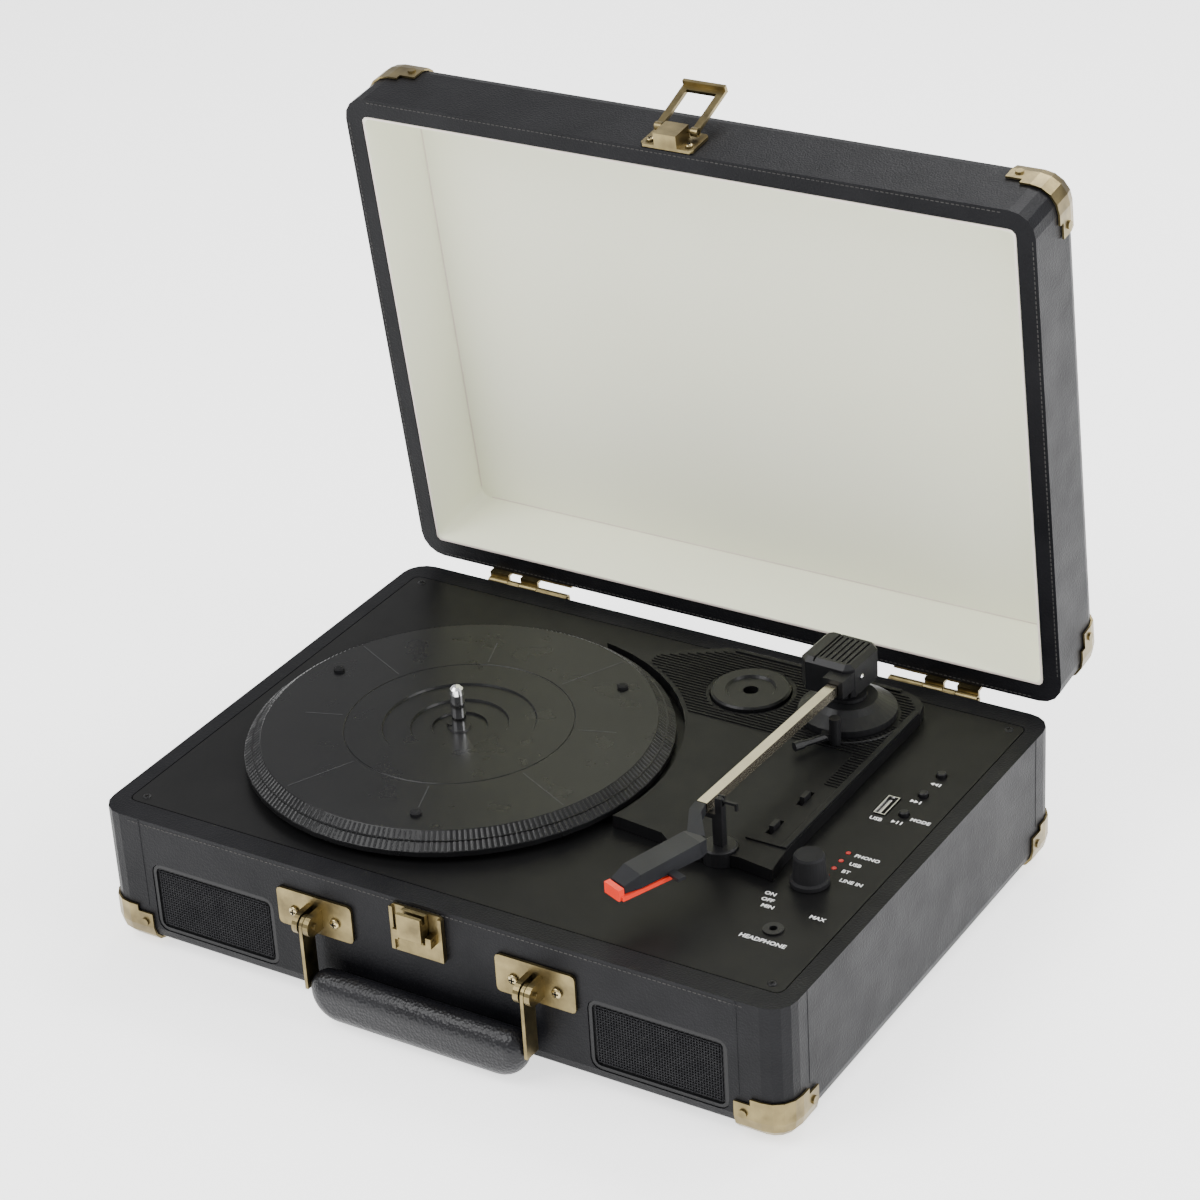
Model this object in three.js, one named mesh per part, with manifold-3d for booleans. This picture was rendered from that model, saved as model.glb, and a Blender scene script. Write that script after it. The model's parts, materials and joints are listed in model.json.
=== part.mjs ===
// Suitcase record player, millimetres. X right, Y back, Z up; origin at the centre of the case's underside.
import * as THREE from "three";
import { mergeVertices } from "three/addons/utils/BufferGeometryUtils.js";
import Module from "manifold-3d";

const wasm = await Module();
wasm.setup();

// Driving dimensions
const CASE = { w: 355, d: 260, h: 66, wallX: 8, wallY: 12, floor: 6, cornerR: 12, edgeR: 8 };
const LID = { z0: 67, depth: 40, wall: 9, liningT: 35, draft: 5 };
const HINGE = { y: 135, z: 63, x: 113, half: 23, r: 2.2, pin: 1.1, open: 82.5 };
const PLATTER = { x: -57.5, y: -11, r: 100, discR: 92, subR: 70 };
const PULLEY = { x: -93.8, y: 66.9, r: 4 };
const PIVOT = { x: 94.5, y: 84, liftZ: 92 };
const ARM_YAW = -1.9;
const HANDLE = { x: 57.5, y: -138.5, z: 44 };
const STRAP_END = 12;
const LATCH_X = -2;
const REST = { x: 97.5, y: -41 };
const DECK = CASE.h;
const CLIP = { x: 98.5, z: DECK + 30.6 };
const GAP = 0.3;
const DEG = Math.PI / 180;

// Solids
function solid(geometry) {
  const g = geometry.clone();
  g.deleteAttribute("normal");
  g.deleteAttribute("uv");
  const merged = mergeVertices(g, 1e-4);
  const tri = new Uint32Array(merged.index.array);
  const make = () => new wasm.Manifold(
    new wasm.Mesh({ numProp: 3, vertProperties: merged.attributes.position.array, triVerts: tri }));
  const made = make();
  if (made.volume() > 0) return made;
  for (let i = 0; i < tri.length; i += 3) [tri[i + 1], tri[i + 2]] = [tri[i + 2], tri[i + 1]];
  return make();
}

function box(x0, x1, y0, y1, z0, z1) {
  const g = new THREE.BoxGeometry(x1 - x0, y1 - y0, z1 - z0);
  return solid(g.translate((x0 + x1) / 2, (y0 + y1) / 2, (z0 + z1) / 2));
}

// A box about (x, y), turned by yaw degrees
function turnedBox(x, y, w, d, z0, z1, yaw) {
  const g = new THREE.BoxGeometry(w, d, z1 - z0).rotateZ(yaw * DEG);
  return solid(g.translate(x, y, (z0 + z1) / 2));
}

// A bar of round section from a to b
function rod(r, a, b, sides = 16) {
  const from = new THREE.Vector3(...a);
  const along = new THREE.Vector3(...b).sub(from);
  const g = new THREE.CylinderGeometry(r, r, along.length(), sides);
  const q = new THREE.Quaternion().setFromUnitVectors(new THREE.Vector3(0, 1, 0), along.clone().normalize());
  return solid(g.applyQuaternion(q).translate(...from.addScaledVector(along, 0.5).toArray()));
}

// A body of revolution about a vertical axis from [radius, z] pairs
function turned(profile, x, y, sides = 32) {
  const points = profile.map(([r, z]) => new THREE.Vector2(r, z));
  return solid(new THREE.LatheGeometry(points, sides).rotateX(Math.PI / 2).translate(x, y, 0));
}

// A body of revolution about a front-to-back axis, z of the profile running toward -Y
function turnedFront(profile, x, y, z, sides = 24) {
  const points = profile.map(([r, t]) => new THREE.Vector2(r, t));
  return solid(new THREE.LatheGeometry(points, sides).rotateX(Math.PI).translate(x, y, z));
}

function roundRect(w, d, r, steps = 3) {
  const out = [];
  const corners = [[1, 1, 0], [-1, 1, 90], [-1, -1, 180], [1, -1, 270]];
  for (const [sx, sy, start] of corners) {
    for (let i = 0; i <= steps; i++) {
      const a = (start + (90 * i) / steps) * DEG;
      out.push([sx * (w / 2 - r) + r * Math.cos(a), sy * (d / 2 - r) + r * Math.sin(a)]);
    }
  }
  return out;
}

// A flat piece with the outline pts (x, y), from z0 to z1, with holes
function slab(pts, z0, z1, holes = []) {
  const shape = new THREE.Shape(pts.map(([x, y]) => new THREE.Vector2(x, y)));
  for (const hole of holes) shape.holes.push(new THREE.Path(hole.map(([x, y]) => new THREE.Vector2(x, y))));
  const g = new THREE.ExtrudeGeometry(shape, { depth: z1 - z0, bevelEnabled: false });
  return solid(g.translate(0, 0, z0));
}

// The same with its outline in x, z and its thickness along y
function wallSlab(pts, y0, y1) {
  const shape = new THREE.Shape(pts.map(([x, z]) => new THREE.Vector2(x, z)));
  const g = new THREE.ExtrudeGeometry(shape, { depth: y1 - y0, bevelEnabled: false });
  return solid(g.rotateX(Math.PI / 2).translate(0, y1, 0));
}

// A skin through convex rings of equal point count
function loft(rings) {
  const n = rings[0].length;
  const pos = [];
  const tri = (a, b, c) => pos.push(...a, ...b, ...c);
  for (let k = 0; k + 1 < rings.length; k++) {
    for (let i = 0; i < n; i++) {
      const j = (i + 1) % n;
      tri(rings[k][i], rings[k][j], rings[k + 1][j]);
      tri(rings[k][i], rings[k + 1][j], rings[k + 1][i]);
    }
  }
  const [first, last] = [rings[0], rings[rings.length - 1]];
  for (let i = 1; i + 1 < n; i++) {
    tri(first[0], first[i + 1], first[i]);
    tri(last[0], last[i], last[i + 1]);
  }
  const g = new THREE.BufferGeometry();
  return solid(g.setAttribute("position", new THREE.Float32BufferAttribute(pos, 3)));
}

const ring = (w, d, r, z) => roundRect(w, d, r, 4).map(([x, y]) => [x, y, z]);
const place = (pts, x, y) => pts.map(([a, b]) => [a + x, b + y]);
const circle = (r, x, y, n = 24) =>
  Array.from({ length: n }, (_, i) => [x + r * Math.cos((i / n) * 2 * Math.PI),
    y + r * Math.sin((i / n) * 2 * Math.PI)]);

// The outside of the case or lid, its rounded outer face at zOut, grown by off
function tray(zOut, zRim, off) {
  const up = Math.sign(zRim - zOut);
  const rings = [];
  for (let i = 0; i <= 3; i++) {
    const a = (i / 3) * 90 * DEG;
    const inset = CASE.edgeR * (1 - Math.sin(a)) - off;
    const r = Math.max(CASE.cornerR - inset, 3);
    const z = zOut - up * off + up * (CASE.edgeR + off) * (1 - Math.cos(a));
    rings.push(ring(CASE.w - 2 * inset, CASE.d - 2 * inset, r, z));
  }
  rings.push(ring(CASE.w + 2 * off, CASE.d + 2 * off, CASE.cornerR + off, zRim));
  return loft(rings);
}

const join = (...parts) => parts.reduce((a, b) => a.add(b));
const cut = (body, ...tools) => tools.reduce((a, b) => a.subtract(b), body);

// Meshes
const LOOKS = {
  black: [0x17181a, 0.6, 0], cream: [0xe4e2d6, 0.8, 0], brass: [0x8f7240, 0.4, 1], steel: [0xb8babd, 0.25, 1],
  plastic: [0x101112, 0.5, 0], rubber: [0x1b1b1b, 0.9, 0], alloy: [0xb9a98c, 0.35, 1], red: [0xd83a28, 0.4, 0],
};
const assembly = new THREE.Group();

function piece(name, look, body, matrix = null) {
  const m = body.getMesh();
  const pos = new Float32Array(m.numVert * 3);
  for (let i = 0; i < m.numVert; i++) pos.set(m.vertProperties.subarray(i * m.numProp, i * m.numProp + 3), i * 3);
  const g = new THREE.BufferGeometry();
  g.setAttribute("position", new THREE.BufferAttribute(pos, 3));
  g.setIndex(new THREE.BufferAttribute(new Uint32Array(m.triVerts), 1));
  if (matrix) g.applyMatrix4(matrix);
  g.computeVertexNormals();
  const [color, roughness, metalness] = LOOKS[look];
  const mesh = new THREE.Mesh(g, new THREE.MeshStandardMaterial({ color, roughness, metalness }));
  mesh.name = name;
  assembly.add(mesh);
}

function about(x, y, z, rotation) {
  const back = new THREE.Matrix4().makeTranslation(-x, -y, -z);
  return new THREE.Matrix4().makeTranslation(x, y, z).multiply(rotation).multiply(back);
}

// Case
const GRILLE = { x: 116, z: 26, w: 68, h: 36, r: 5 };
const JACKS = { w: 64, h: 24, z: 30 };

function baseCase() {
  const inner = slab(roundRect(CASE.w - 2 * CASE.wallX, CASE.d - 2 * CASE.wallY, 4), CASE.floor, 80);
  let body = cut(tray(0, DECK, 0), inner);
  for (const sx of [-1, 1]) {
    const grille = place(roundRect(GRILLE.w, GRILLE.h, GRILLE.r), sx * GRILLE.x, GRILLE.z);
    body = cut(body, wallSlab(grille, -140, -110));
    for (const sy of [-1, 1]) {
      const [x, y] = [sx * 164, sy * 112.5];
      body = join(body, box(x - 8, x + 8, y - 8, y + 8, CASE.floor - 1, 62.7));
    }
  }
  const jacks = box(-JACKS.w / 2, JACKS.w / 2, 110, 140, JACKS.z - JACKS.h / 2, JACKS.z + JACKS.h / 2);
  return cut(body, jacks);
}

const BUTTONS = [[153, 62.7], [153, 44.5], [152.5, 26.5]];
const LEDS = [-11.7, -18.5, -25, -31.5];
const LED_X = 144.8;
const KNOB = [141, -40];
const USB = { x: 142.2, y: 30, w: 5.7, d: 15.5 };
const PHONES = [144, -78];

function deckPlate() {
  const holes = [
    circle(13.2, PULLEY.x, PULLEY.y), circle(5, PLATTER.x, PLATTER.y), circle(9, PIVOT.x, PIVOT.y),
    circle(3.6, KNOB[0], KNOB[1], 16), circle(3.9, PHONES[0], PHONES[1], 16),
    place(roundRect(USB.w + 1.4, USB.d + 1.4, 0.8, 1), USB.x, USB.y),
    ...BUTTONS.map(([x, y]) => circle(2.7, x, y, 12)), ...LEDS.map((y) => circle(1.5, LED_X, y, 8)),
    place(roundRect(9, 46, 1, 1), 112.2, -4), circle(4, 102, 57.5, 12),
  ];
  const grooveW = CASE.w - 2 * CASE.wallX - 1;
  return slab(roundRect(grooveW, CASE.d - 2 * CASE.wallY - 1, 3.5), DECK - 3, DECK, holes);
}

const CHASSIS_TOP = DECK + 6.5;
const ADAPTOR = { x: 45, y: 81, r: 19 };
const SLOTS = [[112.6, 9], [111.7, -17.5]];

function chassis() {
  const outline = [[-40, 92], [-19, 92], [16, 113], [109.5, 113], [117, 111], [122.5, 105.5], [124.5, 98],
    [124.8, -33], [126.5, -47], [108.7, -44.5], [77.7, -49], [69, -42.5], [46.5, -40], [-40, -40]];
  const plinth = slab(outline, DECK + GAP, CHASSIS_TOP);
  const around = turned([[0, DECK - 1], [104, DECK - 1], [104, DECK + 20], [0, DECK + 20]], PLATTER.x, PLATTER.y, 56);
  const foot = turned([[0, DECK + GAP], [92, DECK + GAP], [92, DECK + 2.3], [0, DECK + 2.3]],
    PLATTER.x, PLATTER.y, 48);
  const tie = box(20, 60, -30, 50, DECK + GAP, DECK + 2.3);
  let body = join(cut(plinth, around), foot, tie);
  body = join(body, box(104, 122, -30, 22, CHASSIS_TOP - 0.5, CHASSIS_TOP + 0.7));
  const hole = (r, x, y, n = 24) => slab(circle(r, x, y, n), DECK - 2, DECK + 20);
  body = cut(body, hole(4.2, PLATTER.x, PLATTER.y), hole(13.2, PULLEY.x, PULLEY.y),
    hole(8.6, PIVOT.x, PIVOT.y), hole(8.4, REST.x, REST.y), hole(3.2, 102, 57.5, 12),
    turned([[0, DECK + 3.5], [ADAPTOR.r + 0.6, DECK + 3.5], [ADAPTOR.r + 0.6, 90], [0, 90]], ADAPTOR.x, ADAPTOR.y));
  for (const [x, y] of SLOTS) body = cut(body, box(x - 1.6, x + 1.6, y - 6, y + 6, DECK - 2, 90));
  return body;
}

function spindle() {
  return turned([[0, DECK - 14], [3.9, DECK - 14], [3.9, DECK + 3.4], [6, DECK + 3.4], [6, DECK + 3.9],
    [3.5, DECK + 3.9], [3.5, DECK + 28], [3, DECK + 30.6], [1.8, DECK + 31.8], [0, DECK + 32.2]],
  PLATTER.x, PLATTER.y, 24);
}

function motor() {
  const shell = turned([[0, 38], [12.5, 38], [12.5, DECK + 0.6], [4, DECK + 0.6], [4, DECK + 2.6],
    [0, DECK + 2.6]], PULLEY.x, PULLEY.y);
  return cut(shell, slab(circle(1.5, PULLEY.x, PULLEY.y, 12), 50, 80));
}

function speaker(x) {
  return turnedFront([[0, -20], [9, -20], [9, -12], [16, -3], [19.3, -2.5], [19.3, 0], [15.5, 0],
    [6, -5], [0, -4]], x, -117.6, GRILLE.z);
}

function grille(x) {
  const outer = place(roundRect(GRILLE.w - 0.6, GRILLE.h - 0.6, GRILLE.r - 0.3), x, GRILLE.z);
  const inner = place(roundRect(GRILLE.w - 4, GRILLE.h - 4, GRILLE.r - 2), x, GRILLE.z);
  return cut(wallSlab(outer, -129.6, -126.6), wallSlab(inner, -131, -128.4));
}

function usbSocket() {
  const shell = box(USB.x - USB.w / 2, USB.x + USB.w / 2, USB.y - USB.d / 2, USB.y + USB.d / 2, 52, DECK + 0.4);
  const hollow = box(USB.x - 2.35, USB.x + 2.35, USB.y - 7.2, USB.y + 7.2, 54, 70);
  return join(cut(shell, hollow), box(USB.x - 1.9, USB.x - 0.4, USB.y - 6.2, USB.y + 6.2, 53.5, DECK - 1));
}

function phonesSocket() {
  const body = turned([[0, 50], [3.5, 50], [3.5, DECK + 0.2], [4.6, DECK + 0.2], [4.6, DECK + 0.8], [0, DECK + 0.8]],
    PHONES[0], PHONES[1], 20);
  return cut(body, slab(circle(1.8, PHONES[0], PHONES[1], 16), 53, 70));
}

function indicators() {
  const lens = LEDS.map((y) => slab(circle(1.2, LED_X, y, 10), 60, DECK + 0.1));
  return join(box(LED_X - 2, LED_X + 2, -34, -9, 59, 61.5), ...lens);
}

function foot(x, y) {
  return turned([[0, -4], [7.5, -4], [9, -3], [9, 0], [0, 0]], x, y, 24);
}

// Brass corner cap over the outer face, end and side at one corner
function cap(sx, sy, zOut, zRim) {
  const up = Math.sign(zRim - zOut);
  const skin = cut(tray(zOut, zRim, 1.3), tray(zOut, zRim + up * 5, GAP));
  const [cx, cy] = [sx * CASE.w / 2, sy * CASE.d / 2];
  const span = (a, b) => [Math.min(a, b), Math.max(a, b)];
  const zone = (lx, ly, lz) => box(...span(cx + sx * 4, cx - sx * lx), ...span(cy + sy * 4, cy - sy * ly),
    ...span(zOut - up * 4, zOut + up * lz));
  const region = join(zone(25, 14, 15.5), zone(14, 25, 15.5), zone(17, 17, 18.5));
  const body = skin.intersect(region);
  const head = 0.9;
  const rivets = [
    rod(2, [cx - sx * 20.5, cy + sy, zOut + up * 10.5], [cx - sx * 20.5, cy + sy * (1.3 + head), zOut + up * 10.5], 10),
    rod(2, [cx + sx, cy - sy * 20.5, zOut + up * 10.5], [cx + sx * (1.3 + head), cy - sy * 20.5, zOut + up * 10.5], 10),
  ];
  return join(body, ...rivets);
}

// Handle
function handlePlate(x) {
  const z = HANDLE.z;
  const plate = wallSlab(place(roundRect(40, 19, 2, 2), x, z + 0.5), -131.8, -130.3);
  const ear = (x0) => join(box(x0 - 1.4, x0 + 1.4, HANDLE.y, -131, z - 5, z + 5),
    rod(5, [x0 - 1.4, HANDLE.y, z], [x0 + 1.4, HANDLE.y, z], 20));
  const pin = rod(1.5, [x - 5.6, HANDLE.y, z], [x + 5.6, HANDLE.y, z]);
  const screws = [-11, 11].map((dx) => rod(2.6, [x + dx, -131.5, z - 0.5], [x + dx, -132.7, z - 0.5], 12));
  return join(plate, ear(x - 2.9), ear(x + 2.9), pin, ...screws);
}

function strap(x) {
  const z = HANDLE.z;
  const bar = join(box(x - 0.8, x + 0.8, HANDLE.y - 4.4, HANDLE.y + 4.4, STRAP_END, z),
    rod(4.4, [x - 0.8, HANDLE.y, z], [x + 0.8, HANDLE.y, z], 20));
  return cut(bar, rod(1.9, [x - 3, HANDLE.y, z], [x + 3, HANDLE.y, z], 16));
}

function grip() {
  const outline = [];
  for (const [sx, a0] of [[1, 0], [-1, 90]]) {
    for (let i = 0; i <= 4; i++) {
      const a = (a0 + (90 * i) / 4) * DEG;
      outline.push([sx * 38.4 + 18 * Math.cos(a), 16 - 18 * Math.sin(a)]);
    }
  }
  outline.push([-56.4, 19], [-53.4, 22], [53.4, 22], [56.4, 19]);
  const level = (y, k) => outline.map(([x, z]) => [x * (1 - k / 140), y, 10 + (z - 10) * (1 - k / 12)]);
  return loft([level(-130.7, 4), level(-133, 1), level(-138.5, 0), level(-144, 1), level(-146.3, 4)]);
}

// Latch: keeper and lever on the case, plate and bail on the lid
const LEVER = { y: -134.6, z: 52 };
const BAIL = { y: -135, z: 79 };

function catchPlate() {
  const x = LATCH_X;
  const plate = wallSlab(place(roundRect(27, 24, 1.5, 1), x, 52), -131.8, -130.3);
  const rails = [-12.6, 12.6].map((dx) => box(x + dx - 0.9, x + dx + 0.9, -133, -131, 41, 63));
  const ears = [-8.6, 8.6].map((dx) => box(x + dx - 1.4, x + dx + 1.4, -136.6, -131, 49.5, 54.5));
  return join(plate, ...rails, ...ears, rod(1, [x - 10.4, LEVER.y, LEVER.z], [x + 10.4, LEVER.y, LEVER.z], 12));
}

function latchLever() {
  const x = LATCH_X;
  const block = join(box(x - 6.2, x + 6.2, -138.2, -132.2, 52, 64),
    rod(2.4, [x - 6.2, LEVER.y, LEVER.z], [x + 6.2, LEVER.y, LEVER.z], 16));
  return cut(block, rod(1.3, [x - 9, LEVER.y, LEVER.z], [x + 9, LEVER.y, LEVER.z], 16),
    box(x - 7, x + 7, -136.4, -134.4, 60.5, 66));
}

function lidPlate() {
  const x = LATCH_X;
  const plate = wallSlab(place(roundRect(27, 16.5, 1.5, 1), x, 75.75), -131.8, -130.3);
  const block = box(x - 5.8, x + 5.8, -138, -131, 67.5, 79.5);
  const screws = [-10, 10].map((dx) => rod(1.9, [x + dx, -131.5, 71.5], [x + dx, -132.6, 71.5], 12));
  return join(plate, block, rod(1, [x - 10.5, BAIL.y, BAIL.z], [x + 10.5, BAIL.y, BAIL.z], 12), ...screws);
}

// The bail as folded back along the lid, its loop away from the rim
function latchBail() {
  const x = LATCH_X;
  const arm = (dx) => cut(join(box(x + dx - 1.7, x + dx + 1.7, -136, -134.2, BAIL.z, 107),
    rod(2.1, [x + dx - 1.7, BAIL.y, BAIL.z], [x + dx + 1.7, BAIL.y, BAIL.z], 16)),
  rod(1.3, [x + dx - 4, BAIL.y, BAIL.z], [x + dx + 4, BAIL.y, BAIL.z], 16));
  const end = join(box(x - 11, x + 11, -136, -134.2, 103.5, 108), box(x - 11, x + 11, -138.2, -135, 106.2, 108));
  return join(arm(-9.3), arm(9.3), end);
}

// Lid
function lidShell() {
  const w = CASE.w - 2 * LID.wall;
  const d = CASE.d - 2 * LID.wall;
  return cut(tray(LID.z0 + LID.depth, LID.z0, 0), slab(roundRect(w, d, 4), 60, LID.z0 + LID.depth - 3));
}

function lidLining() {
  const w = CASE.w - 2 * LID.wall - 0.6;
  const d = CASE.d - 2 * LID.wall - 0.6;
  const top = LID.z0 + LID.liningT;
  const outer = loft([ring(w, d, 3.7, LID.z0 + GAP), ring(w, d, 3.7, LID.z0 + LID.depth - 3 - GAP)]);
  const inner = loft([ring(w - 2.4, d - 2.4, 3, LID.z0 - 1), ring(w - 2.4, d - 2.4, 3, LID.z0),
    ring(w - 2.4 - 2 * LID.draft, d - 2.4 - 2 * LID.draft, 6, top)]);
  return cut(outer, inner);
}

const KNUCKLES = [[0, 11, 1], [11.3, 17.7, 0], [18, 28, 1], [28.3, 46, 0]];

function hingeLeaf(x, isLid) {
  const out = Math.sign(x);
  const x0 = x + out * HINGE.half;
  const span = (a, b) => [Math.min(x0 - out * a, x0 - out * b), Math.max(x0 - out * a, x0 - out * b)];
  const { y, z, r, pin } = HINGE;
  const [zPlate0, zPlate1] = isLid ? [67.5, 84] : [42, 60];
  let body = box(...span(0, 46), 130.3, 131.6, zPlate0, zPlate1);
  for (const [a, b, lid] of KNUCKLES) {
    if (lid !== Number(isLid)) continue;
    const [xa, xb] = span(a, b);
    const tongue = isLid
      ? join(box(xa, xb, 130.3, 131.6, 63.9, 68), box(xa, xb, 130.3, y, 63.9, z + r))
      : join(box(xa, xb, 130.3, 131.6, 59, 62.1), box(xa, xb, 130.3, y, z - r, 62.1));
    body = join(body, tongue, rod(r, [xa, y, z], [xb, y, z], 16));
  }
  const [pa, pb] = span(-0.8, 46.8);
  return isLid ? cut(body, rod(pin + 0.25, [pa - 2, y, z], [pb + 2, y, z], 16))
    : join(body, rod(pin, [pa, y, z], [pb, y, z], 12));
}

function jackPanel() {
  const plate = box(-JACKS.w / 2 + GAP, JACKS.w / 2 - GAP, 124, 129, JACKS.z - 11.7, JACKS.z + 11.7);
  const sleeves = [-20, -4].map((x) => rod(4, [x, 126, JACKS.z], [x, 134, JACKS.z], 16));
  const inlet = rod(2.9, [18, 126.2, JACKS.z], [18, 140, JACKS.z], 16);
  return cut(join(plate, ...sleeves), inlet, ...[-20, -4].map((x) => rod(1.5, [x, 128, JACKS.z], [x, 140, JACKS.z], 12)));
}

function armRest() {
  const { x, y } = REST;
  const cup = turned([[0, DECK + GAP], [8, DECK + GAP], [8, DECK + 7.4], [7.2, DECK + 8], [0, DECK + 8]], x, y, 24);
  const post = box(97, 100, y - 2, y + 2, DECK + 5, DECK + 32.4);
  const shelf = join(box(89.4, 97, y - 1.6, y + 1.6, DECK + 21.4, DECK + 23.8),
    box(95, 98, y - 1.6, y + 1.6, DECK + 6, DECK + 23.8));
  const slot = box(96, 101, y - 1, y + 1, DECK + 28.2, DECK + 36);
  return join(cut(join(cup, post, shelf), slot), rod(0.8, [CLIP.x, y - 1.8, CLIP.z], [CLIP.x, y + 1.8, CLIP.z], 10));
}

function armPivotBase() {
  const body = turned([[0, DECK - 8], [8, DECK - 8], [8, CHASSIS_TOP + GAP], [23, CHASSIS_TOP + GAP],
    [23, DECK + 10],
    [17, DECK + 13.6], [14, DECK + 16], [0, DECK + 16]], PIVOT.x, PIVOT.y, 40);
  return cut(body, slab(circle(4.8, PIVOT.x, PIVOT.y, 20), DECK + 2, DECK + 20));
}

function belt() {
  const [dx, dy] = [PULLEY.x - PLATTER.x, PULLEY.y - PLATTER.y];
  const toward = Math.atan2(dy, dx);
  const outline = (big, small) => {
    const spread = Math.acos((big - small) / Math.hypot(dx, dy));
    const arc = (cx, cy, r, a0, a1, n) => Array.from({ length: n + 1 }, (_, i) => {
      const a = a0 + ((a1 - a0) * i) / n;
      return [cx + r * Math.cos(a), cy + r * Math.sin(a)];
    });
    return [...arc(PLATTER.x, PLATTER.y, big, toward + spread, toward + 2 * Math.PI - spread, 40),
      ...arc(PULLEY.x, PULLEY.y, small, toward - spread, toward + spread, 8)];
  };
  return slab(outline(71.4, 5.2), DECK + 5, DECK + 8.5, [outline(70.6, 4.4)]);
}

// Platter and drive
function platter() {
  const z = (t) => DECK + t;
  return turned([[3.9, z(4.2)], [12, z(4.2)], [12, z(7)], [67, z(7)], [67, z(4.5)], [70, z(4.5)], [70, z(9.6)],
    [96.5, z(9.6)], [96.5, z(3.5)], [100, z(3.5)], [100, z(6)], [92, z(12.5)], [53.9, z(12.5)], [53.5, z(12.2)],
    [53.1, z(12.5)], [36, z(12.5)], [35.4, z(11.6)], [23, z(11.6)], [22.4, z(10.6)], [13, z(10.6)], [12.6, z(9.6)],
    [3.9, z(9.6)], [3.9, z(4.2)]], PLATTER.x, PLATTER.y, 48);
}

function pulley() {
  return turned([[0, 54], [1, 54], [1, DECK + 3.2], [5, DECK + 3.2], [5, DECK + 4.2], [4, DECK + 4.8],
    [4, DECK + 8.6], [4.6, DECK + 9.1], [0, DECK + 9.1]], PULLEY.x, PULLEY.y, 20);
}

function adaptor() {
  const { x, y, r } = ADAPTOR;
  const body = turned([[0, DECK + 3.8], [r, DECK + 3.8], [r, DECK + 8], [r - 1, DECK + 8.8], [12, DECK + 8.8],
    [11, DECK + 7.6], [0, DECK + 7.6]], x, y, 40);
  return cut(body, slab(circle(3.7, x, y, 20), DECK, 90));
}

// Tonearm, modelled with its tube along -Y and turned by ARM_YAW about the pivot
const armPose = about(PIVOT.x, PIVOT.y, 0, new THREE.Matrix4().makeRotationZ(ARM_YAW * DEG));

function turret() {
  const { x, y, liftZ } = PIVOT;
  const post = join(turned([[0, DECK + 3], [4.5, DECK + 3], [4.5, DECK + 16.3], [9, DECK + 16.3], [9, DECK + 18],
    [0, DECK + 18]], x, y, 24), box(x - 4.5, x + 4.5, y - 5, y + 5, DECK + 17, liftZ + 3.5));
  return cut(post, rod(1.7, [x - 8, y, liftZ], [x + 8, y, liftZ], 16));
}

function armHousing() {
  const { x, y, liftZ } = PIVOT;
  const [x0, x1, y0, y1, z0, z1] = [73, 101, 76, 105, DECK + 18.8, DECK + 35.5];
  const bevel = 4;
  const outline = (k) => [[x0 + k, y0 + bevel], [x0 + bevel, y0 + k], [x1 - bevel, y0 + k], [x1 - k, y0 + bevel],
    [x1 - k, y1 - bevel], [x1 - bevel, y1 - k], [x0 + bevel, y1 - k], [x0 + k, y1 - bevel]];
  const at = (k, z) => outline(k).map(([px, py]) => [px, py, z]);
  let body = loft([at(0, z0), at(0, z1 - 2.2), at(2.4, z1)]);
  body = cut(body, box(80.6, 81.6, 70, 110, z1 - 1.4, z1 + 2));
  for (let i = 0; i < 6; i++) body = cut(body, box(82.5 + i * 2.8, 83.5 + i * 2.8, 80, 101, z1 - 0.8, z1 + 2));
  body = join(body, box(x - 4.2, x + 6.2, 69, 80, liftZ - 3, liftZ + 6));
  body = cut(body, box(x - 5, x + 5, y - 6.5, y + 11, z0 - 4, liftZ + 5), box(x - 1.9, x + 3.8, 66, 74, liftZ - 1.9, liftZ + 3.9));
  return join(body, rod(1.35, [x - 5.8, y, liftZ], [x + 5.8, y, liftZ], 14));
}

const TUBE = { x: PIVOT.x + 0.95, z: DECK + 27, half: 2.5, y0: -44, y1: 73.6 };

function armTube() {
  const { x, z, half, y0, y1 } = TUBE;
  const bar = box(x - half, x + half, y0, y1, z - half, z + half);
  return bar;
}

function headshell() {
  const yaw = -20;
  const [bx, by] = [105, -62];
  const [ux, uy] = [Math.sin(yaw * DEG), -Math.cos(yaw * DEG)];
  const spot = (t) => [bx + ux * t, by + uy * t];
  const corner = (t, s) => [spot(t)[0] - uy * s, spot(t)[1] + ux * s];
  const section = (t, half, z0, z1) => [[...corner(t, half), z0], [...corner(t, -half), z0],
    [...corner(t, -half), z1], [...corner(t, half), z1]];
  const shell = loft([section(0, 5, DECK + 19, DECK + 26), section(4, 6, DECK + 18.6, DECK + 26.4),
    section(36, 6, DECK + 17.4, DECK + 24), section(44, 4.5, DECK + 17.2, DECK + 21)]);
  const neck = loft([[[92.4, -44.4, DECK + 24.6], [97.6, -44.4, DECK + 24.6], [97.6, -44.4, DECK + 29.4],
    [92.4, -44.4, DECK + 29.4]], [[92.6, -50, DECK + 23], [98.6, -50, DECK + 23], [98.6, -50, DECK + 28.6],
    [92.6, -50, DECK + 28.6]], [[100, -64, DECK + 19.4], [108, -62, DECK + 19.4], [108, -62, DECK + 26],
    [100, -64, DECK + 26]]]);
  const [fx, fy] = spot(20);
  const lift = turnedBox(fx + 8.5, fy - 3, 8, 4, DECK + 17.6, DECK + 19, yaw);
  return join(shell, neck, lift);
}

function stylus() {
  const yaw = -20;
  const spot = (t) => [105 + Math.sin(yaw * DEG) * t, -62 - Math.cos(yaw * DEG) * t];
  const body = turnedBox(...spot(33), 12.4, 26, DECK + 14.9, DECK + 16.9, yaw);
  return join(body, turnedBox(...spot(46), 10, 3, DECK + 14.9, DECK + 20.4, yaw));
}

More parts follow.
